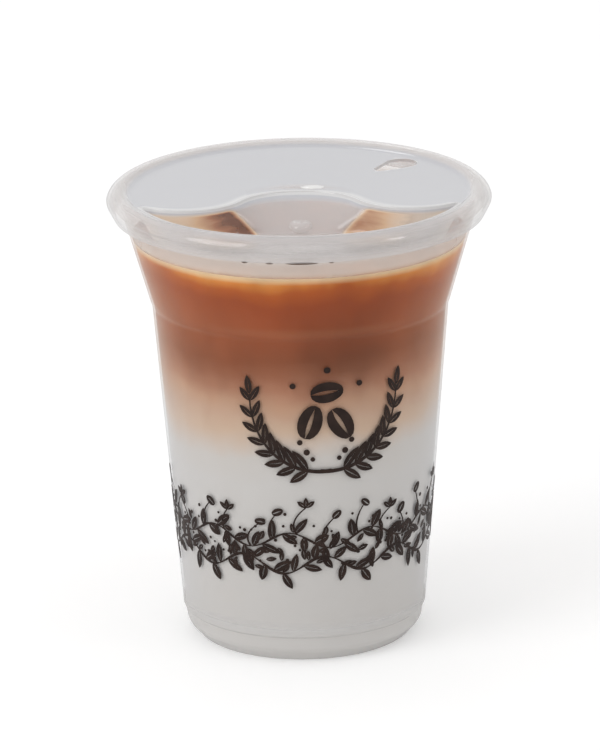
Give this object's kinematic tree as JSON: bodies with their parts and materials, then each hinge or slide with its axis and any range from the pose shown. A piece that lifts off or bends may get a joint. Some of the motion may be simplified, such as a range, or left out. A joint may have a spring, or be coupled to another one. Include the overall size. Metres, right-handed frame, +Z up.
{
  "type": "iced layered coffee in a lidded clear cup",
  "caption": "Clear flared takeaway cup with a rolled rim and a press-on sip lid with a sunken front, holding iced coffee floating on milk.",
  "frame": {"origin": "on the table under the middle of the cup's foot", "axes": "+Z up along the cup's axis, -Y towards the lid's sunken front, where the shown side and the print are"},
  "size_m": [0.102, 0.102, 0.1224],
  "materials": {
    "cup_plastic": null,
    "lid_plastic": "milky clear thermoformed plastic",
    "milk": "opaque white liquid",
    "coffee": "opaque brown milky coffee, a brighter orange line at its top"
  },
  "bodies": {
    "root": {"cup": "cup_plastic", "lid": "lid_plastic", "milk": "milk", "coffee": "coffee"}
  },
  "joints": []
}
